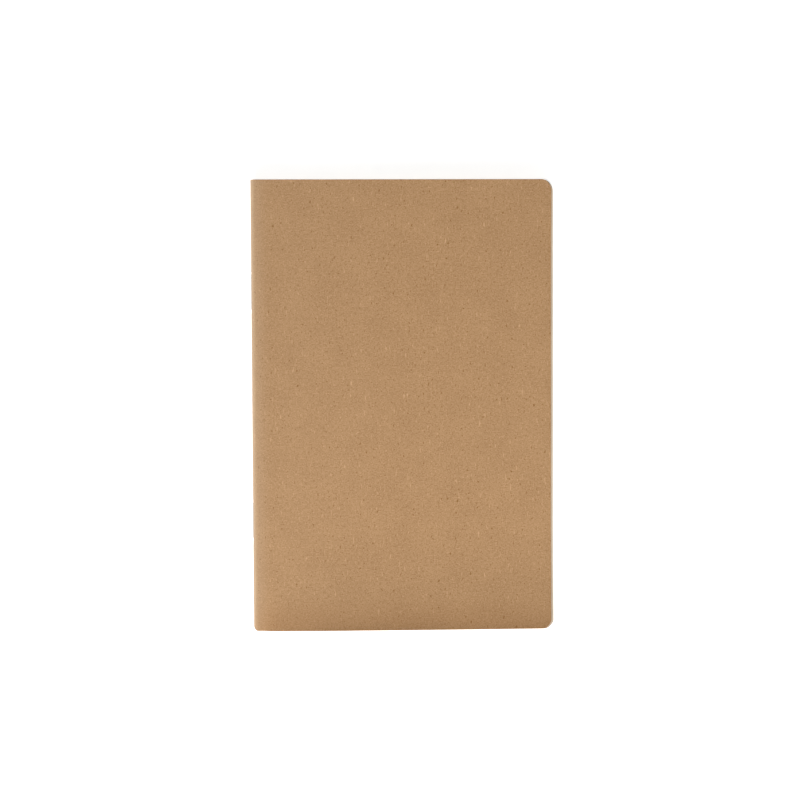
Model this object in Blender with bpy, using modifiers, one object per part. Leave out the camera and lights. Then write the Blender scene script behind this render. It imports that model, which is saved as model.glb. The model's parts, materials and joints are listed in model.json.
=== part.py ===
"""Pocket notebook: one section of folded sheets, wire-stapled through the fold into a soft board cover.

Frame: metres, +Z up. The notebook lies closed on its rear cover. The spine runs along Y on the -X side,
the fore edge is on the +X side, and the origin is the middle of the footprint at table height.
Every leaf and both covers turn about one line, the hinge line, which runs along Y through the middle
of the spine.
"""

import math

import bmesh
import bpy

# Driving dimensions
WIDTH = 0.100  # from the spine's staples to the fore edge
HEIGHT = 0.150  # from head to tail, along the spine
CORNER_RADIUS = 0.0035  # the two fore-edge corners
BOARD = 0.00034  # cover board
PAPER = 0.00009  # one leaf
SHEETS = 12  # folded sheets; each makes a front leaf and a rear leaf
WIRE_RADIUS = 0.0002  # staple wire

# Clearances
CENTRE_RADIUS = 0.00034  # inside the centre sheet's fold, where the wire comes through
FOLD_GAP = 0.00002  # from one nested fold to the next
FLEX_GAP = 0.0003  # from the spine's outer radius to the start of each leaf and cover panel
LEAF_INSET = 0.0002  # the leaves stop this far inside the covers
LEAF_AIR = 0.00002  # from the stack of leaves to each cover
HOLE_GAP = 0.00008  # round the wire where it passes through board or paper

# Staples
STAPLE_OFFSET = 0.038  # from the middle of the spine to each staple
STAPLE_CROWN = 0.012
STAPLE_BEND = 0.00025
STAPLE_TIP = 0.0006  # from each turned-in tip to the middle of the crown
STAPLE_INNER_REACH = 0.0005  # from the hinge line to the turned-in legs

# Sizes worked out from the driving dimensions
FOLD_PITCH = PAPER + FOLD_GAP
FOLDS_RADIUS = CENTRE_RADIUS + SHEETS * FOLD_PITCH
SPINE_RADIUS = FOLDS_RADIUS + BOARD
CROWN_RADIUS = FOLDS_RADIUS + WIRE_RADIUS
HINGE_X = -WIDTH / 2 + CROWN_RADIUS + WIRE_RADIUS
PANEL_START = SPINE_RADIUS + FLEX_GAP
LEAF_PITCH = (FOLDS_RADIUS - LEAF_AIR) / SHEETS

# Tessellation
ARC_STEPS = 12
CORNER_STEPS = 6
BEND_STEPS = 3
WIRE_RESOLUTION = 2

KRAFT = (0.42, 0.25, 0.12, 1.0)
CREAM = (0.72, 0.66, 0.54, 1.0)
STEEL = (0.46, 0.46, 0.47, 1.0)


def clear_scene():
    for obj in list(bpy.data.objects):
        bpy.data.objects.remove(obj, do_unlink=True)


def new_collection(name):
    collection = bpy.data.collections.new(name)
    bpy.context.scene.collection.children.link(collection)
    return collection


def new_material(name, colour, roughness, metallic=0.0):
    material = bpy.data.materials.new(name)
    material.use_nodes = True
    shader = material.node_tree.nodes["Principled BSDF"]
    shader.inputs["Base Color"].default_value = colour
    shader.inputs["Roughness"].default_value = roughness
    shader.inputs["Metallic"].default_value = metallic
    return material


def add_object(name, data, collection, parent=None, location=(0, 0, 0)):
    obj = bpy.data.objects.new(name, data)
    collection.objects.link(obj)
    obj.parent = parent
    obj.location = location
    return obj


def add_pivot(name, collection, parent=None, location=(0, 0, 0)):
    pivot = add_object(name, None, collection, parent, location)
    pivot.empty_display_size = 0.01
    return pivot


def arc_points(centre, radius, first, last, steps):
    """Points along an arc in a plane, from the angle first to the angle last, in degrees."""
    angles = [math.radians(first + (last - first) * i / steps) for i in range(steps + 1)]
    return [(centre[0] + radius * math.cos(a), centre[1] + radius * math.sin(a)) for a in angles]


def panel_outline(start, end, half_height, radius):
    """A panel, square at the spine and with two round corners at the fore edge."""
    low = arc_points((end - radius, radius - half_height), radius, -90, 0, CORNER_STEPS)
    high = arc_points((end - radius, half_height - radius), radius, 0, 90, CORNER_STEPS)
    return [(start, -half_height), *low, *high, (start, half_height)]


def flat_curve(name, outline, thickness, material):
    curve = bpy.data.curves.new(name, "CURVE")
    curve.dimensions = "2D"
    curve.fill_mode = "BOTH"
    curve.extrude = thickness / 2
    spline = curve.splines.new("POLY")
    spline.points.add(len(outline) - 1)
    for point, (x, y) in zip(spline.points, outline):
        point.co = (x, y, 0, 1)
    spline.use_cyclic_u = True
    curve.materials.append(material)
    return curve


def add_fold(name, inner_radius, thickness, length, material, collection, parent, cutter):
    """A half tube round the hinge line, open towards the fore edge, with the staples' cuts through it."""
    mesh = bpy.data.meshes.new(name)
    middle = inner_radius + thickness / 2
    profile = bmesh.new()
    ends = [profile.verts.new((0, side * length / 2, -middle)) for side in (-1, 1)]
    profile.edges.new(ends)
    profile.to_mesh(mesh)
    profile.free()
    mesh.materials.append(material)
    fold = add_object(name, mesh, collection, parent)

    turn = fold.modifiers.new("turn", "SCREW")
    turn.axis = "Y"
    turn.angle = math.pi
    turn.steps = ARC_STEPS
    turn.render_steps = ARC_STEPS
    turn.use_merge_vertices = False
    turn.use_smooth_shade = True

    wall = fold.modifiers.new("wall", "SOLIDIFY")
    wall.thickness = thickness
    wall.offset = 0
    wall.use_even_offset = True

    cut = fold.modifiers.new("staple_cuts", "BOOLEAN")
    cut.operation = "DIFFERENCE"
    cut.solver = "EXACT"
    cut.object = cutter
    return fold


def add_cutter(name, boxes, collection, parent):
    """One cutter made of boxes, each given by its centre and its size."""
    mesh = bpy.data.meshes.new(name)
    shape = bmesh.new()
    for centre, size in boxes:
        made = bmesh.ops.create_cube(shape, size=1)
        bmesh.ops.scale(shape, vec=size, verts=made["verts"])
        bmesh.ops.translate(shape, vec=centre, verts=made["verts"])
    shape.to_mesh(mesh)
    shape.free()
    cutter = add_object(name, mesh, collection, parent)
    cutter.hide_render = True
    cutter.display_type = "WIRE"
    return cutter


def add_staple(name, y, material, collection, parent):
    """A wire staple: its crown lies along the spine, and its legs turn in over the centre fold."""
    leg = STAPLE_CROWN / 2
    outside = -CROWN_RADIUS
    inside = STAPLE_INNER_REACH
    inner_bend = arc_points(
        (inside - STAPLE_BEND, leg - STAPLE_BEND), STAPLE_BEND, 0, 90, BEND_STEPS
    )
    outer_bend = arc_points(
        (outside + STAPLE_BEND, leg - STAPLE_BEND), STAPLE_BEND, 90, 180, BEND_STEPS
    )
    half = [(inside, STAPLE_TIP), *inner_bend, *outer_bend]
    path = half + [(x, -across) for x, across in reversed(half)]

    curve = bpy.data.curves.new(name, "CURVE")
    curve.dimensions = "3D"
    curve.bevel_depth = WIRE_RADIUS
    curve.bevel_resolution = WIRE_RESOLUTION
    curve.use_fill_caps = True
    spline = curve.splines.new("POLY")
    spline.points.add(len(path) - 1)
    for point, (x, across) in zip(spline.points, path):
        point.co = (x, across, 0, 1)
    curve.materials.append(material)
    return add_object(name, curve, collection, parent, (0, y, 0))


def staple_cutters(collection, parent):
    """Two cutters: the crowns' slots through the cover's spine, and the legs' holes through the folds."""
    slot = 2 * (WIRE_RADIUS + HOLE_GAP)
    reach = SPINE_RADIUS + FLEX_GAP
    crowns = [
        ((-reach / 2, side * STAPLE_OFFSET, 0), (reach, STAPLE_CROWN + slot, slot))
        for side in (-1, 1)
    ]
    legs = [
        ((-reach / 2, side * STAPLE_OFFSET + end * STAPLE_CROWN / 2, 0), (reach, slot, slot))
        for side in (-1, 1)
        for end in (-1, 1)
    ]
    crown_cutter = add_cutter("crown_slots", crowns, collection, parent)
    leg_cutter = add_cutter("leg_holes", legs, collection, parent)
    return crown_cutter, leg_cutter


def add_cover(kraft, collection, spine_pivot, crown_cutter):
    outline = panel_outline(PANEL_START, WIDTH / 2 - HINGE_X, HEIGHT / 2, CORNER_RADIUS)
    panel = flat_curve("cover_panel", outline, BOARD, kraft)
    lift = SPINE_RADIUS - BOARD / 2
    add_object("rear_cover", panel, collection, None, (HINGE_X, 0, BOARD / 2))
    front_pivot = add_pivot("front_cover_pivot", collection, spine_pivot)
    add_object("front_cover", panel, collection, front_pivot, (0, 0, lift))
    add_fold(
        "cover_spine", FOLDS_RADIUS, BOARD, HEIGHT, kraft, collection, spine_pivot, crown_cutter
    )


def add_sheet(number, leaf, paper, collection, spine_pivot, leg_cutter):
    """One folded sheet: its fold and its two leaves. Sheet 1 is next to the cover, the last is the centre."""
    name = f"sheet_{number:02d}"
    inward = SHEETS - number
    inner_radius = CENTRE_RADIUS + inward * FOLD_PITCH
    length = HEIGHT - 2 * LEAF_INSET
    add_fold(f"{name}_fold", inner_radius, PAPER, length, paper, collection, spine_pivot, leg_cutter)
    lift = (inward + 0.5) * LEAF_PITCH
    for side, sign in (("front", 1), ("rear", -1)):
        pivot = add_pivot(f"{name}_{side}_pivot", collection, spine_pivot)
        add_object(f"{name}_{side}_leaf", leaf, collection, pivot, (0, 0, sign * lift))


def main():
    clear_scene()
    notebook = new_collection("pocket_notebook")
    cutters = new_collection("cutters")
    kraft = new_material("kraft_board", KRAFT, 0.85)
    paper = new_material("cream_paper", CREAM, 0.9)
    wire = new_material("staple_wire", STEEL, 0.3, 1.0)

    spine_pivot = add_pivot("spine_pivot", notebook, None, (HINGE_X, 0, SPINE_RADIUS))
    crown_cutter, leg_cutter = staple_cutters(cutters, spine_pivot)
    add_cover(kraft, notebook, spine_pivot, crown_cutter)

    leaf_end = WIDTH / 2 - HINGE_X - LEAF_INSET
    leaf_radius = CORNER_RADIUS - LEAF_INSET
    outline = panel_outline(PANEL_START, leaf_end, HEIGHT / 2 - LEAF_INSET, leaf_radius)
    leaf = flat_curve("leaf", outline, PAPER, paper)
    for number in range(1, SHEETS + 1):
        add_sheet(number, leaf, paper, notebook, spine_pivot, leg_cutter)

    add_staple("staple_upper", STAPLE_OFFSET, wire, notebook, spine_pivot)
    add_staple("staple_lower", -STAPLE_OFFSET, wire, notebook, spine_pivot)


main()
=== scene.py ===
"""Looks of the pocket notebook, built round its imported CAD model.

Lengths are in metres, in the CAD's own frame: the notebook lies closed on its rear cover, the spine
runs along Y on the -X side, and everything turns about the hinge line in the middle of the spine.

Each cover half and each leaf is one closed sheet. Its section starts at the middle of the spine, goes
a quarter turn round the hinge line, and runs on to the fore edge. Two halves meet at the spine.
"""

import json
import math
import random

import bmesh
import bpy
import numpy as np
from mathutils import Matrix, Vector


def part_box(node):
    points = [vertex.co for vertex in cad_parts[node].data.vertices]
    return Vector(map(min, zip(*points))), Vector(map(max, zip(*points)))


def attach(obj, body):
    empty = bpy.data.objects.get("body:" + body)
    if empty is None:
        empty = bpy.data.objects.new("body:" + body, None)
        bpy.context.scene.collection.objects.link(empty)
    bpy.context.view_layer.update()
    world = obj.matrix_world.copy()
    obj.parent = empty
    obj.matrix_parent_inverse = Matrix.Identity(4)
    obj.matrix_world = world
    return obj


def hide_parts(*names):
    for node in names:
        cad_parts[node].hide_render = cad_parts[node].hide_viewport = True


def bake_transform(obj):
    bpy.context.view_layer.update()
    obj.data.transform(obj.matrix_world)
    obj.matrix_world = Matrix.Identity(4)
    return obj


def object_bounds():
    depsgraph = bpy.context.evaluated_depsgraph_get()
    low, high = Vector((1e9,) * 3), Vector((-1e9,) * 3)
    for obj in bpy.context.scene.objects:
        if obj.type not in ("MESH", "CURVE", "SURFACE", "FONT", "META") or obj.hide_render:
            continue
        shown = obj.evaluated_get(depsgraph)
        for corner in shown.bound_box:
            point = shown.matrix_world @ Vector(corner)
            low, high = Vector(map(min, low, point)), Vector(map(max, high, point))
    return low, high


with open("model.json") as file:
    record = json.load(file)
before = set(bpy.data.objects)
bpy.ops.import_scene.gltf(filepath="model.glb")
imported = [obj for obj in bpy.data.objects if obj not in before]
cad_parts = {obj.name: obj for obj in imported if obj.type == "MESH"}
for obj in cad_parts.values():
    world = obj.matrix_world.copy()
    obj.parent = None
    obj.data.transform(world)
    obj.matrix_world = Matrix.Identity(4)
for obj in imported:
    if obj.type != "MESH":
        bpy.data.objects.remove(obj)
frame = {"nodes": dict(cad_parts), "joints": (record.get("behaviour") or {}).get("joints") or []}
cad_low, cad_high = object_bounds()

# Sizes that the CAD model gives
HINGE = Vector(next(j for j in frame["joints"] if j["name"] == "spine_hinge")["pos_m"])
PANEL_LOW, PANEL_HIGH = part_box("front_cover")
BOARD = PANEL_HIGH.z - PANEL_LOW.z
REACH = PANEL_HIGH.x - HINGE.x  # from the hinge line to the fore edge
HALF_HEIGHT = PANEL_HIGH.y
SPINE_RADIUS = PANEL_HIGH.z - HINGE.z
LEAF_LOW, LEAF_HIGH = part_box("sheet_01_front_leaf")
PAPER = LEAF_HIGH.z - LEAF_LOW.z
SHEETS = sum(name.endswith("_fold") for name in frame["nodes"])
LEAVES = 2 * SHEETS
STACK = SPINE_RADIUS - BOARD  # from the middle leaf's lower face to the inside of the front cover
WIRE_LOW, WIRE_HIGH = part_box("staple_upper")
WIRE_RADIUS = (WIRE_HIGH.z - WIRE_LOW.z) / 2
CROWN = WIRE_HIGH.y - WIRE_LOW.y - 2 * WIRE_RADIUS
STAPLE_OFFSET = (WIRE_HIGH.y + WIRE_LOW.y) / 2
CROWN_RADIUS = HINGE.x - WIRE_LOW.x - WIRE_RADIUS

# Outline. A corner is its width, its height, and a power: 2 is round, and nearer 1 is flatter.
HEAD_CORNER = (0.0031, 0.0037, 1.75)  # at the fore edge
TAIL_CORNER = (0.0025, 0.0027, 1.35)  # at the fore edge, flattened by wear
SPINE_CORNER = (0.0011, 0.0014, 1.6)  # at the spine's tail end, rubbed by wear
FRONT_SHORT = 0.00026  # the front cover's fore edge stops this far inside the rear cover's
HOLLOW = 0.00017  # and this much further in its middle
HOLLOW_END = 0.017  # from the head and the tail, how soon it gets there
TAIL_SHORT = 0.0003  # and this much further at its curled tail
TAIL_SHORT_END = 0.012  # from the tail, how soon that has gone
EDGE_ROUND = 0.0001  # the board's cut edges are eased by this much
PROUD = 0.00036  # the leaves' fore edge stands this far past the rear cover, before it is trimmed
TRIM = 0.00008  # the most that one leaf's edge is cut short
LEAST_TRIM = 0.3  # and the least, as a share of that
TRIM_SEED = 5

# Grids of the sheets
COLUMNS_APART = 0.0015  # past where the folds have settled, where the columns are further apart
TAIL_ROWS = (0.0008, 3)  # at the curled tail, the distance between rows, and their count
DENT_ROWS = 3  # at each end of a crown
LEAST_ROW = 0.00004  # rows closer than this are one
SHARP = 35  # degrees between two faces, from which their edge isn't shaded smooth

# Section: fold, bend and lie of the sheets
SETTLE = 0.0055  # past the hinge line, where the nested folds have closed up into the stack
SHOULDER = 0.00012  # the front cover swells this much over the fold
SHOULDER_WIDTH = 0.0055  # past the hinge line, where that swelling is at its full size
SPRING = 0.0007  # the front cover stands this much open at the fore edge
SPRING_POWER = 1.6  # how late it rises: 1 would be evenly, all the way from the hinge line
CURL = 0.0017  # the front cover's tail edge curls up by this much
CURL_LENGTH = 0.0068  # from the tail, how soon the curl dies away
CURL_BACK = 0.00018  # and comes back by this much
BOW = 0.0012  # and is bowed up by this much over a longer way
BOW_LENGTH = 0.021  # from the tail, how soon the bow dies away
CURL_AT_SPINE = 0.5  # the share of the curl that is left where the fold holds the cover down
FREE = 0.03  # past the hinge line, where the fold no longer holds the front cover down
LIFT_POWER = 2.2  # how fast the curl and spring die away from the front cover to the centre leaf
WAVE = 0.00009  # slow waves in the front cover
WAVE_ALONG = (71, 0.6)  # their radians per metre and their phase, from the spine to the fore edge
WAVE_DOWN = (43, 1.1)  # and from the tail to the head
DENT = 0.00035  # how deep a staple's crown is pulled into the spine
DENT_WIDTH = 0.0003  # how wide the dent is to each side of the wire
DENT_END = 0.0006  # past the crown's ends, where the dent has run out
LAYER_APART = 0.13  # from one sheet's grain to the next, so that no two sheets look the same

# Air between the leaves, shared out in slow waves of unequal size
AIR_CHANGE = (0.35, 0.8)  # the least and the most by which one share varies from place to place
AIR_ALONG = 38  # radians per metre, at the most
AIR_DOWN = 30
AIR_SEED = 12

# Staples
LEG_GAP = 0.00003  # from the turned-in legs to the centre sheet's fold
TIP_GAP = 0.00006  # and the tips stand off it by this much more
TIP = 0.0007  # from each tip to the middle of the crown
TIP_BEND = 0.0016  # from there to where each tip starts to stand off
WIRE_BEND = 0.0004
WIRE_BEND_STEPS = 6

# Colours, linear. A pair is the darkest and the palest of a mottled colour.
KRAFT = (0.424, 0.248, 0.119)
# Pale kraft for the spine: partly rubbed fibres, partly painted sheen and painted light
KRAFT_RUBBED_AND_SHEEN = (0.60, 0.44, 0.30)
# Painted shade colour for the covers' tail band
KRAFT_TAIL_SHADE = (0.36, 0.16, 0.05)
CREAM = ((0.713, 0.648, 0.533), (0.727, 0.662, 0.547))
CREAM_FIBRE = (0.56, 0.48, 0.37)
CREAM_TONED = (0.66, 0.49, 0.33)
# Page edges: darker than the paper's face, painted shade for the gaps between the leaves
CREAM_CUT_SHADED = ((0.41, 0.36, 0.285), (0.51, 0.45, 0.36))
STEEL = ((0.36, 0.36, 0.365), (0.56, 0.56, 0.57))
STUDIO = ((0.89, 0.89, 0.885), (0.91, 0.91, 0.905))

# Paler cover towards the spine: partly wear of the fold, partly painted sheen on the fold and painted light
# on the spine side. Distances from the middle of the spine where it starts and ends, and its strength
SPINE_WEAR_AND_SHEEN = ((0.0009, 0.0027, 0.38), (0.0, 0.0075, 0.3), (0.0, 0.06, 0.04))
# Painted shade: the covers darker and browner towards the tail, standing in for the shade of the curled tail
TAIL_SHADE = (0.013, 0.2)  # how far from the tail the covers start to brown, and how much at the tail
TONED = (0.0022, 0.0006, 0.4)  # from a leaf's edge, where the paper starts and ends to brown; how much

# Light: one large soft lamp, low and beyond the tail, with a dim world and a glowing floor
KEY_PLACE = (-0.15, -1.08, 0.46)
KEY_SIZE = 0.62
KEY_POWER = 20.8
WORLD_STRENGTH = 0.1
FLOOR_GLOW = (0.6, 0.3)  # in the middle, and far out
FLOOR_GLOW_REACH = (0.4, 1.2)

# Camera, fitted to the outline of the closed notebook
LENS = 85.0  # millimetres
SENSOR = 36.0
CAMERA_DISTANCE = 0.6326
CAMERA_TARGET = (-0.00062, 0.00168, 0.0)
TILT_TO_HEAD = 3.1  # degrees
TILT_TO_SPINE = 2.93
ROLL = 0.24


def smooth(value):
    """0 below 0, 1 above 1, and an even rise between them."""
    t = np.clip(value, 0.0, 1.0)
    return t * t * (3 - 2 * t)


# ---------------------------------------------------------------------------------------------
# Sheets: covers and leaves
# ---------------------------------------------------------------------------------------------


def columns(fold_steps, bend_steps, flat_steps, corner_steps, edge):
    """Angle round the fold and distance past the hinge line, for each column of a sheet's grid."""
    fold = [math.pi / 2 * i / fold_steps for i in range(fold_steps)]
    flat_start = SETTLE + COLUMNS_APART
    corner_width = HEAD_CORNER[0]
    corner_start = REACH - corner_width
    bend = [flat_start * i / bend_steps for i in range(bend_steps)]
    flat = [flat_start + (corner_start - flat_start) * i / flat_steps for i in range(flat_steps)]
    turn = [math.pi / 2 * i / corner_steps for i in range(corner_steps)]
    corner = [corner_start + corner_width * math.sin(a) for a in turn]
    corner += [REACH - edge, REACH] if edge else [REACH]
    along = bend + flat + corner
    angles = fold + [math.pi / 2] * len(along)
    return np.array(angles), np.array([0.0] * len(fold) + sorted(along))


def rows(step, edge):
    """Places along the spine, closer together where the tail curls and where the staples pull in."""
    places = [-HALF_HEIGHT, HALF_HEIGHT]
    if edge:
        places += [-HALF_HEIGHT + edge, HALF_HEIGHT - edge]
    count = round(2 * HALF_HEIGHT / step)
    places += [-HALF_HEIGHT + 2 * HALF_HEIGHT * i / count for i in range(1, count)]
    tail_step, tail_count = TAIL_ROWS
    places += [-HALF_HEIGHT + tail_step * i for i in range(1, tail_count + 1)]
    for centre in (-STAPLE_OFFSET, STAPLE_OFFSET):
        for side in (-1, 1):
            end = centre + side * (CROWN / 2 + WIRE_RADIUS)
            places += [end + side * DENT_END * i / DENT_ROWS for i in range(DENT_ROWS + 1)]
    spaced = []
    for place in sorted(places):
        if not spaced or place - spaced[-1] > LEAST_ROW:
            spaced.append(place)
    return np.array(spaced)


def sheet_grid(angle, along, down):
    """The angle, the distance past the hinge line and the row's place, for each point of a grid."""
    angle, _ = np.meshgrid(angle, down, indexing="ij")
    along, down = np.meshgrid(along, down, indexing="ij")
    return angle, along, down


def corner_cut(from_edge, corner):
    """How far a corner takes the head or tail edge in, at a distance from the edge that it turns into."""
    width, height, power = corner
    past = np.clip(1 - from_edge / width, 0.0, 1.0)
    return height - height * (1 - past**power) ** (1 / power)


def fit_rows(angle, along, down, fold_radius, trim_head=0.0, trim_tail=0.0):
    """Where each row lies on a sheet, once the rows are spread from its tail edge to its head edge."""
    from_spine = along + SPINE_RADIUS - fold_radius * np.cos(angle)
    head = HALF_HEIGHT - trim_head - corner_cut(REACH - along, HEAD_CORNER)
    tail = HALF_HEIGHT - trim_tail - corner_cut(REACH - along, TAIL_CORNER)
    tail = tail - corner_cut(from_spine, SPINE_CORNER)
    share = (down + HALF_HEIGHT) / (2 * HALF_HEIGHT)
    return -tail + (head + tail) * share


def front_lift(along, y):
    """How far the front cover stands above its flat place: shoulder, spring, waves and curled tail."""
    from_tail = y + HALF_HEIGHT
    start = smooth(along / SHOULDER_WIDTH)
    away = smooth(along / FREE)
    curl = CURL * np.exp(-from_tail / CURL_LENGTH) * (CURL_AT_SPINE + (1 - CURL_AT_SPINE) * away)
    bow = BOW * np.exp(-((from_tail / BOW_LENGTH) ** 2)) * away
    wave_along = np.sin(along * WAVE_ALONG[0] + WAVE_ALONG[1])
    wave_down = np.sin(y * WAVE_DOWN[0] + WAVE_DOWN[1])
    wave = WAVE * wave_along * wave_down * away
    spring = SPRING * (along / REACH) ** SPRING_POWER
    return start * (SHOULDER + curl + bow + wave) + spring


def staple_dent(height, angle, y):
    """Share of its radius by which a fold is drawn in under the staples' crowns."""
    from_crown = np.abs(np.abs(y) - STAPLE_OFFSET) - CROWN / 2 - WIRE_RADIUS
    along = 1 - smooth(from_crown / DENT_END)
    across = np.exp(-((height / DENT_WIDTH) ** 2)) * np.cos(angle) ** 2
    return DENT / SPINE_RADIUS * along * across


def stack_heights(grid_along, grid_y):
    """Height of each leaf's lower face over the rear cover's inside, lowest leaf first.

    The air between the leaves is shared out unevenly, and differently from place to place.
    """
    chance = random.Random(AIR_SEED)
    shares = []
    for _ in range(LEAVES + 1):
        phase = chance.uniform(0, 2 * math.pi)
        across = chance.uniform(-AIR_ALONG, AIR_ALONG)
        down = chance.uniform(-AIR_DOWN, AIR_DOWN)
        size = chance.uniform(*AIR_CHANGE)
        shares.append(1 + size * np.sin(phase + across * grid_along + down * grid_y))
    air = 2 * STACK - LEAVES * PAPER
    total = sum(shares)
    heights = []
    reached = 0.0
    for number in range(LEAVES):
        reached = reached + air * shares[number] / total
        heights.append(reached)
        reached = reached + PAPER
    return heights


def sheet_surface(side, fold_radius, stack_height, lift_share, angle, along, y):
    """Points of one face of a sheet, from its fold's radius at the spine to its place in the stack."""
    settled = smooth(along / SETTLE)
    radius = fold_radius + (stack_height - fold_radius) * settled
    radius = radius * (1 - staple_dent(radius * np.sin(angle), angle, y))
    x = HINGE.x + along - radius * np.cos(angle)
    z = HINGE.z + side * radius * np.sin(angle)
    if side > 0:
        z = z + lift_share * front_lift(along, y)
        back = CURL_BACK * np.exp(-(y + HALF_HEIGHT) / CURL_LENGTH) * smooth(along / FREE)
        y = y + lift_share * back
    return np.stack([x, y, z], axis=-1)


def grid_faces(columns_count, rows_count, eased):
    """Quads of a closed sheet, outer grid first and inner grid after it, and which of them are cut edges."""
    inner = columns_count * rows_count

    def at(column, row, layer):
        return layer * inner + column * rows_count + row

    faces = []
    is_cut = []
    for i in range(columns_count - 1):
        for j in range(rows_count - 1):
            faces.append([at(i, j, 0), at(i + 1, j, 0), at(i + 1, j + 1, 0), at(i, j + 1, 0)])
            faces.append([at(i, j, 1), at(i, j + 1, 1), at(i + 1, j + 1, 1), at(i + 1, j, 1)])
            is_cut += [eased and (j in (0, rows_count - 2) or i == columns_count - 2)] * 2
    for i in range(columns_count - 1):
        for j in (0, rows_count - 1):
            faces.append([at(i, j, 0), at(i + 1, j, 0), at(i + 1, j, 1), at(i, j, 1)])
    for j in range(rows_count - 1):
        for i in (0, columns_count - 1):
            faces.append([at(i, j, 0), at(i, j + 1, 0), at(i, j + 1, 1), at(i, j, 1)])
    is_cut += [True] * (len(faces) - len(is_cut))
    return faces, is_cut


def sheet_mesh(name, outer, inner, unrolled, materials, eased):
    """A closed sheet from two grids of points.

    Its first material is on its faces and its second on its cut edges.
    """
    count_along, count_down = outer.shape[:2]
    points = np.concatenate([outer.reshape(-1, 3), inner.reshape(-1, 3)])
    faces, is_cut = grid_faces(count_along, count_down, eased)
    mesh = bpy.data.meshes.new(name)
    mesh.from_pydata(points.tolist(), [], faces)
    for material in materials:
        mesh.materials.append(material)
    mesh.polygons.foreach_set("material_index", [int(cut) for cut in is_cut])
    place = mesh.attributes.new("rest_place", "FLOAT_VECTOR", "POINT")
    place.data.foreach_set("vector", unrolled.astype(np.float32).ravel())
    shape = bmesh.new()
    shape.from_mesh(mesh)
    bmesh.ops.recalc_face_normals(shape, faces=shape.faces)
    shape.to_mesh(mesh)
    shape.free()
    mesh.shade_smooth()
    mesh.set_sharp_from_angle(angle=math.radians(SHARP))
    piece = bpy.data.objects.new(name, mesh)
    bpy.context.scene.collection.objects.link(piece)
    return piece


def unroll(side, angle, along, y, depth):
    """Where the points were on the flat sheet, which stays true however the sheet is shaped."""
    across = side * (along + SPINE_RADIUS * angle)
    return np.stack([across, y, np.full_like(y, depth)], axis=-1)


def add_cover_half(name, side, materials):
    """Half of the cover: a panel and its half of the spine."""
    angle, along = columns(
        fold_steps=20, bend_steps=16, flat_steps=34, corner_steps=9, edge=EDGE_ROUND
    )
    angle, along, down = sheet_grid(angle, along, rows(step=0.0025, edge=EDGE_ROUND))
    y = fit_rows(angle, along, down, SPINE_RADIUS)
    hollow = HOLLOW * (1 - np.exp(-(((HALF_HEIGHT - np.abs(y)) / HOLLOW_END) ** 2)))
    drawn_in = TAIL_SHORT * np.exp(-(((HALF_HEIGHT + y) / TAIL_SHORT_END) ** 2))
    short = FRONT_SHORT + hollow + drawn_in
    placed = along * (REACH - short) / REACH if side > 0 else along
    eased = np.zeros_like(y)
    eased[:, 0] = EDGE_ROUND
    eased[:, -1] = EDGE_ROUND
    eased[-1, :] = EDGE_ROUND
    outer_radius = SPINE_RADIUS - eased
    inner_radius = STACK + eased
    outer = sheet_surface(side, outer_radius, outer_radius, 1.0, angle, placed, y)
    inner = sheet_surface(side, inner_radius, inner_radius, 1.0, angle, placed, y)
    unrolled = np.concatenate(
        [unroll(side, angle, along, y, depth).reshape(-1, 3) for depth in (0.0, BOARD)]
    )
    piece = sheet_mesh(name, outer, inner, unrolled, materials, True)
    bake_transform(piece)
    return piece


def add_leaves(materials):
    """Every leaf with its half of its sheet's fold."""
    chance = random.Random(TRIM_SEED)
    angle, along = columns(fold_steps=12, bend_steps=10, flat_steps=12, corner_steps=7, edge=0.0)
    grid = sheet_grid(angle, along, rows(step=0.005, edge=0.0))
    heights = stack_heights(*grid[1:])
    for number in range(1, SHEETS + 1):
        fold_low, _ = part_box(f"sheet_{number:02d}_fold")
        fold_radius = HINGE.x - fold_low.x
        for side, side_name in ((1, "front"), (-1, "rear")):
            order = LEAVES - number if side > 0 else number - 1
            lower = heights[order] - STACK
            outer_height = lower + PAPER if side > 0 else -lower
            trims = [chance.uniform(LEAST_TRIM, 1.0) * TRIM for _ in range(3)]
            add_leaf(number, side, side_name, fold_radius, outer_height, trims, grid, materials)


def add_leaf(number, side, side_name, fold_radius, outer_height, trims, grid, materials):
    """One leaf. The three trims are how far its head, tail and fore edge are cut short."""
    angle, along, down = grid
    trim_head, trim_tail, trim_fore = trims
    y = fit_rows(angle, along, down, fold_radius, trim_head, trim_tail)
    along = along * (REACH + PROUD - trim_fore) / REACH
    lift_share = ((SHEETS - number + 1) / SHEETS) ** LIFT_POWER
    inner_radius = fold_radius - PAPER
    outer = sheet_surface(side, fold_radius, outer_height, lift_share, angle, along, y)
    inner = sheet_surface(side, inner_radius, outer_height - PAPER, lift_share, angle, along, y)
    layer = LAYER_APART * number
    unrolled = np.concatenate(
        [unroll(side, angle, along, y, depth).reshape(-1, 3) for depth in (layer, layer + PAPER)]
    )
    piece = sheet_mesh(f"page_{number:02d}_{side_name}", outer, inner, unrolled, materials, False)
    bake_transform(piece)
    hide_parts(f"sheet_{number:02d}_{side_name}_leaf", f"sheet_{number:02d}_fold")


# ---------------------------------------------------------------------------------------------
# Staples
# ---------------------------------------------------------------------------------------------


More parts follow.
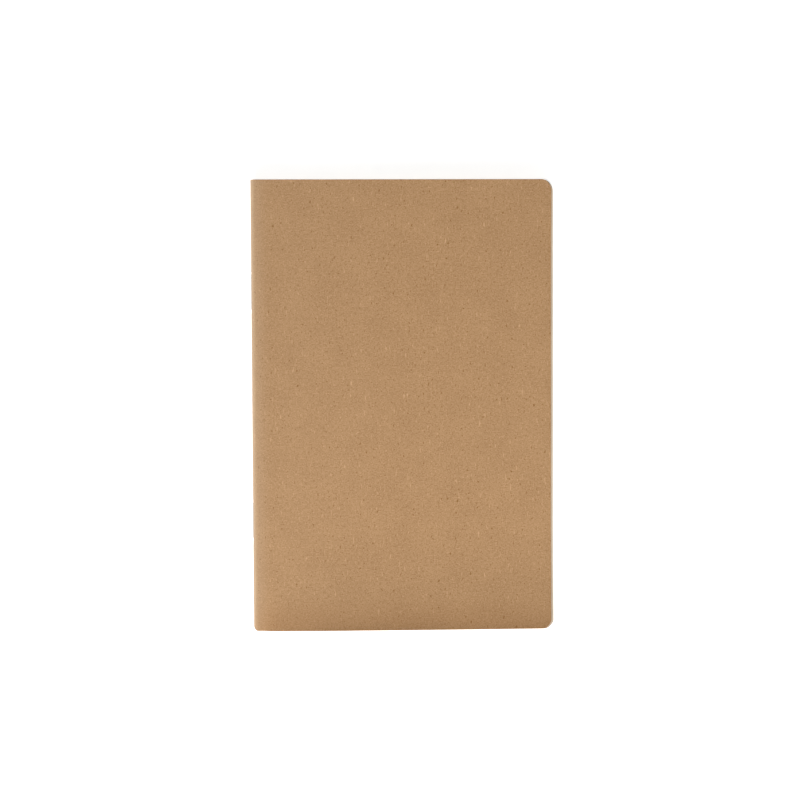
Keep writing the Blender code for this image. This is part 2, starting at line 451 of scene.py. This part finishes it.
def staple_path():
    """Half of a staple's wire, from its turned-in tip to the middle of its crown.

    The points are (x, y), measured from the hinge line and from the staple's middle.
    """
    centre_low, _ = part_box(f"sheet_{SHEETS:02d}_fold")
    centre_inner = HINGE.x - centre_low.x - PAPER
    inside = -centre_inner + WIRE_RADIUS + LEG_GAP
    outside = -CROWN_RADIUS
    turn_y = CROWN / 2 - WIRE_BEND
    path = [(inside + TIP_GAP, TIP), (inside, TIP_BEND)]
    for turn_x, first in ((inside - WIRE_BEND, 0), (outside + WIRE_BEND, 1)):
        for i in range(WIRE_BEND_STEPS + 1):
            a = math.pi / 2 * (first + i / WIRE_BEND_STEPS)
            path.append((turn_x + WIRE_BEND * math.cos(a), turn_y + WIRE_BEND * math.sin(a)))
    path.append((outside, 0.0))
    return path


def add_staple(name, node, y, material):
    """A staple of round wire: crown along the spine, legs through the fold, tips turned in."""
    half = staple_path()
    path = half + [(x, -across) for x, across in reversed(half[:-1])]
    curve = bpy.data.curves.new(name, "CURVE")
    curve.dimensions = "3D"
    curve.bevel_depth = WIRE_RADIUS
    curve.bevel_resolution = 4
    curve.use_fill_caps = True
    spline = curve.splines.new("POLY")
    spline.points.add(len(path) - 1)
    for point, (x, across) in zip(spline.points, path):
        point.co = (HINGE.x + x, y + across, HINGE.z, 1)
    curve.materials.append(material)
    piece = bpy.data.objects.new(name, curve)
    bpy.context.scene.collection.objects.link(piece)
    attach(piece, "spine")
    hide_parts(node)


# ---------------------------------------------------------------------------------------------
# Materials
# ---------------------------------------------------------------------------------------------


class Finish:
    """A node material being put together. Most methods add a node and give back the socket it ends in."""

    def __init__(self, name, roughness, metallic=0.0, specular=0.5):
        self.material = bpy.data.materials.new(name)
        self.material.use_nodes = True
        self.tree = self.material.node_tree
        self.shader = self.tree.nodes["Principled BSDF"]
        self.put(self.shader.inputs["Roughness"], roughness)
        self.put(self.shader.inputs["Metallic"], metallic)
        self.put(self.shader.inputs["Specular IOR Level"], specular)

    def put(self, socket, value):
        if isinstance(value, bpy.types.NodeSocket):
            self.tree.links.new(value, socket)
        else:
            socket.default_value = value

    def rest_place(self):
        found = self.tree.nodes.new("ShaderNodeAttribute")
        found.attribute_name = "rest_place"
        return found.outputs["Vector"]

    def object_place(self):
        return self.tree.nodes.new("ShaderNodeTexCoord").outputs["Object"]

    def stretched(self, place, turn, factors):
        """The place turned about the sheet's normal and then scaled, for grain that lies one way."""
        mapping = self.tree.nodes.new("ShaderNodeMapping")
        self.put(mapping.inputs["Vector"], place)
        self.put(mapping.inputs["Rotation"], (0, 0, math.radians(turn)))
        self.put(mapping.inputs["Scale"], factors)
        return mapping.outputs["Vector"]

    def noise(self, place, size, detail=2.0, rough=0.5, warp=0.0):
        made = self.tree.nodes.new("ShaderNodeTexNoise")
        self.put(made.inputs["Vector"], place)
        self.put(made.inputs["Scale"], 1 / size)
        self.put(made.inputs["Detail"], detail)
        self.put(made.inputs["Roughness"], rough)
        self.put(made.inputs["Distortion"], warp)
        return made.outputs["Fac"]

    def span(self, value, low, high, to_low=0.0, to_high=1.0):
        """The value taken from low..high to to_low..to_high, and held at the ends."""
        made = self.tree.nodes.new("ShaderNodeMapRange")
        made.interpolation_type = "SMOOTHSTEP"
        self.put(made.inputs["Value"], value)
        self.put(made.inputs["From Min"], low)
        self.put(made.inputs["From Max"], high)
        self.put(made.inputs["To Min"], to_low)
        self.put(made.inputs["To Max"], to_high)
        return made.outputs["Result"]

    def combine(self, kind, a, b):
        made = self.tree.nodes.new("ShaderNodeMath")
        made.operation = kind
        self.put(made.inputs[0], a)
        self.put(made.inputs[1], b)
        return made.outputs["Value"]

    def mix(self, a, b, share):
        made = self.tree.nodes.new("ShaderNodeMix")
        made.data_type = "RGBA"
        self.put(made.inputs["Factor"], share)
        self.put(made.inputs["A"], a)
        self.put(made.inputs["B"], b)
        return made.outputs["Result"]

    def mottled(self, pair, value):
        """Between a dark and a pale colour, as a noise's value goes."""
        dark, pale = pair
        return self.mix(rgb(*dark), rgb(*pale), self.span(value, 0.3, 0.7))

    def axes(self, place):
        """A place's distance across the sheet and along the spine."""
        made = self.tree.nodes.new("ShaderNodeSeparateXYZ")
        self.put(made.inputs["Vector"], place)
        return made.outputs["X"], made.outputs["Y"]

    def colour(self, socket):
        self.put(self.shader.inputs["Base Color"], socket)

    def bump(self, height, distance):
        made = self.tree.nodes.new("ShaderNodeBump")
        self.put(made.inputs["Height"], height)
        self.put(made.inputs["Distance"], distance)
        self.put(self.shader.inputs["Normal"], made.outputs["Normal"])


def rgb(red, green, blue):
    return (red, green, blue, 1.0)


def tone(base, change):
    """The base colour darker or lighter by a share. Kraft loses more of its blue than of its red."""
    red, green, blue = base
    return rgb(red * (1 + change), green * (1 + 1.27 * change), blue * (1 + 1.7 * change))


def kraft_board():
    """Recycled kraft board: fibre grain, flecks and faint clouds; paler towards the spine, partly rubbed and
    partly painted sheen and painted light; darker and browner at the tail, painted shade.
    """
    look = Finish("kraft_board_face", 0.85, specular=0.3)
    place = look.rest_place()
    cloud = look.noise(place, 0.011, detail=4.0, rough=0.6)
    colour = look.mix(tone(KRAFT, -0.045), tone(KRAFT, 0.045), look.span(cloud, 0.3, 0.7))
    patch = look.noise(place, 0.0011, detail=1.0)
    colour = look.mix(colour, tone(KRAFT, -0.13), look.span(patch, 0.5, 0.25, 0.0, 0.7))
    colour = look.mix(colour, tone(KRAFT, 0.09), look.span(patch, 0.5, 0.75, 0.0, 0.7))
    grain = look.noise(place, 0.00045, rough=0.7)
    colour = look.mix(colour, tone(KRAFT, -0.28), look.span(grain, 0.5, 0.25))
    colour = look.mix(colour, tone(KRAFT, 0.28), look.span(grain, 0.5, 0.75))
    flecks = look.noise(look.stretched(place, -35, (1.0, 0.6, 1.0)), 0.0008, detail=1.0)
    colour = look.mix(colour, tone(KRAFT, -0.5), look.span(flecks, 0.66, 0.76, 0.0, 0.7))
    fibres = look.noise(look.stretched(place, 25, (1.0, 0.22, 1.0)), 0.0006, warp=0.4)
    colour = look.mix(colour, tone(KRAFT, 0.5), look.span(fibres, 0.64, 0.74, 0.0, 0.6))
    across, down = look.axes(place)
    from_spine = look.combine("ABSOLUTE", across, 0.0)
    # Paler towards the spine: partly a rubbed fold, partly painted sheen on the fold and painted light on
    # the spine side
    wear_and_sheen = 0.0
    for start, end, strength in SPINE_WEAR_AND_SHEEN:
        wear_and_sheen = look.combine("ADD", wear_and_sheen, look.span(from_spine, start, end, strength, 0.0))
    colour = look.mix(colour, rgb(*KRAFT_RUBBED_AND_SHEEN), wear_and_sheen)
    # Painted shade: darker and browner towards the tail edge
    from_tail = look.combine("ADD", down, HALF_HEIGHT)
    start, strength = TAIL_SHADE
    tail_shade = look.span(from_tail, 0.0, start, strength, 0.0)
    colour = look.mix(colour, rgb(*KRAFT_TAIL_SHADE), tail_shade)
    look.colour(colour)
    relief = look.noise(place, 0.0006, detail=3.0, rough=0.6)
    look.bump(look.combine("ADD", relief, look.combine("MULTIPLY", flecks, 0.5)), distance=0.00002)
    look.put(look.shader.inputs["Roughness"], look.span(cloud, 0.3, 0.7, 0.82, 0.9))
    return look.material


def kraft_cut():
    """The board's cut edges: raw, with its layers showing as dark and pale streaks, and darker overall than
    the face, partly as painted shade along the eased edges.
    """
    look = Finish("kraft_board_cut", 0.9, specular=0.2)
    place = look.rest_place()
    streaks = look.noise(look.stretched(place, 0, (1.0, 1.0, 9.0)), 0.0009, rough=0.6)
    # The dark end is partly painted shade along the cut and eased edges
    look.colour(look.mix(tone(KRAFT, -0.35), tone(KRAFT, 0.1), look.span(streaks, 0.3, 0.7)))
    return look.material


def cream_paper():
    """Uncoated writing paper: faint clouds, a trace of fibre, and a little browner along its edges."""
    look = Finish("cream_paper_face", 0.9, specular=0.25)
    place = look.rest_place()
    colour = look.mottled(CREAM, look.noise(place, 0.004, detail=3.0))
    fibres = look.noise(look.stretched(place, 40, (1.0, 0.25, 1.0)), 0.0008, warp=0.5)
    colour = look.mix(colour, rgb(*CREAM_FIBRE), look.span(fibres, 0.66, 0.80, 0.0, 0.4))
    edges = (REACH + PROUD + SPINE_RADIUS * math.pi / 2, HALF_HEIGHT)
    start, end, strength = TONED
    for axis, edge in zip(look.axes(place), edges):
        from_middle = look.combine("ABSOLUTE", axis, 0.0)
        toned = look.span(from_middle, edge - start, edge - end, 0.0, strength)
        colour = look.mix(colour, rgb(*CREAM_TONED), toned)
    look.colour(colour)
    return look.material


def paper_cut():
    """The leaves' trimmed edges, painted darker than the paper as shade in the gaps between the leaves."""
    look = Finish("cream_paper_cut", 0.9, specular=0.2)
    rough = look.noise(look.rest_place(), 0.0012, detail=3.0, rough=0.6)
    look.colour(look.mottled(CREAM_CUT_SHADED, rough))
    return look.material


def staple_wire():
    """Bright drawn steel wire with fine scratches and duller patches."""
    look = Finish("staple_steel", 0.3, metallic=1.0)
    place = look.object_place()
    scratch = look.noise(look.stretched(place, 0, (1.0, 0.15, 1.0)), 0.0002, rough=0.6)
    look.colour(look.mottled(STEEL, scratch))
    look.put(look.shader.inputs["Roughness"], look.span(scratch, 0.3, 0.7, 0.22, 0.42))
    return look.material


# ---------------------------------------------------------------------------------------------
# Stage, lights and camera
# ---------------------------------------------------------------------------------------------


def add_cove():
    """A plain white floor that curves up into a wall all round."""
    floor_radius = 1.3
    cove_radius = 0.7
    wall_top = 1.9
    steps = 12
    gap = 0.0001  # from the floor to the rear cover
    profile = [(0.0, 0.0), (floor_radius, 0.0)]
    for i in range(1, steps + 1):
        a = math.pi / 2 * i / steps
        profile.append((floor_radius + cove_radius * math.sin(a), cove_radius * (1 - math.cos(a))))
    profile.append((floor_radius + cove_radius, wall_top))
    shape = bmesh.new()
    verts = [shape.verts.new((x, 0, z)) for x, z in profile]
    edges = [shape.edges.new(pair) for pair in zip(verts, verts[1:])]
    bmesh.ops.spin(
        shape, geom=verts + edges, cent=(0, 0, 0), axis=(0, 0, 1), angle=2 * math.pi, steps=64,
        use_merge=True,
    )
    bmesh.ops.remove_doubles(shape, verts=shape.verts, dist=1e-5)
    mesh = bpy.data.meshes.new("studio_cove")
    shape.to_mesh(mesh)
    shape.free()
    mesh.shade_smooth()
    look = Finish("studio_white", 0.95, specular=0.0)
    paint = look.noise(look.object_place(), 0.4)
    dark, pale = STUDIO
    look.colour(look.mix(rgb(*dark), rgb(*pale), paint))
    look.put(look.shader.inputs["Emission Color"], rgb(1.0, 1.0, 1.0))
    reach = look.tree.nodes.new("ShaderNodeVectorMath")
    reach.operation = "LENGTH"
    look.put(reach.inputs[0], look.object_place())
    glow = look.span(reach.outputs["Value"], *FLOOR_GLOW_REACH, *FLOOR_GLOW)
    look.put(look.shader.inputs["Emission Strength"], glow)
    mesh.materials.append(look.material)
    cove = bpy.data.objects.new("studio_cove", mesh)
    cove.location.z = min(cad_low.z, 0.0) - gap
    bpy.context.scene.collection.objects.link(cove)


def add_area_light(name, place, size, power):
    """A round soft lamp that faces the notebook."""
    light = bpy.data.lights.new(name, "AREA")
    light.shape = "DISK"
    light.size = size
    light.energy = power
    lamp = bpy.data.objects.new(name, light)
    lamp.location = place
    lamp.rotation_euler = (-Vector(place)).to_track_quat("-Z", "Y").to_euler()
    bpy.context.scene.collection.objects.link(lamp)


def add_world(strength):
    """An even white light from all round."""
    world = bpy.data.worlds.new("studio_air")
    world.use_nodes = True
    sky = world.node_tree.nodes["Background"]
    sky.inputs["Color"].default_value = rgb(1.0, 1.0, 1.0)
    sky.inputs["Strength"].default_value = strength
    bpy.context.scene.world = world


def add_camera():
    """Looks down on the front cover, leaning a little towards the head and the spine."""
    data = bpy.data.cameras.new("photo_camera")
    data.lens = LENS
    data.sensor_width = SENSOR
    data.clip_start = 0.01
    data.clip_end = 20
    camera = bpy.data.objects.new("photo_camera", data)
    to_view = (
        Matrix.Rotation(math.radians(ROLL), 3, "Z")
        @ Matrix.Rotation(math.radians(TILT_TO_HEAD), 3, "X")
        @ Matrix.Rotation(math.radians(TILT_TO_SPINE), 3, "Y")
    )
    turn = to_view.transposed()
    place = Vector(CAMERA_TARGET) + turn @ Vector((0, 0, CAMERA_DISTANCE))
    camera.matrix_world = Matrix.Translation(place) @ turn.to_4x4()
    bpy.context.scene.collection.objects.link(camera)
    bpy.context.scene.camera = camera


def main():
    kraft = [kraft_board(), kraft_cut()]
    front = add_cover_half("cover_board_front", 1, kraft)
    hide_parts("front_cover", "cover_spine")
    rear = add_cover_half("cover_board_rear", -1, kraft)
    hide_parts("rear_cover", "cover_spine")
    add_leaves([cream_paper(), paper_cut()])
    steel = staple_wire()
    add_staple("wire_staple_upper", "staple_upper", STAPLE_OFFSET, steel)
    add_staple("wire_staple_lower", "staple_lower", -STAPLE_OFFSET, steel)

    add_cove()
    add_area_light("key_light", KEY_PLACE, KEY_SIZE, KEY_POWER)
    add_world(WORLD_STRENGTH)
    add_camera()
    bpy.context.scene.view_settings.view_transform = "Standard"


main()
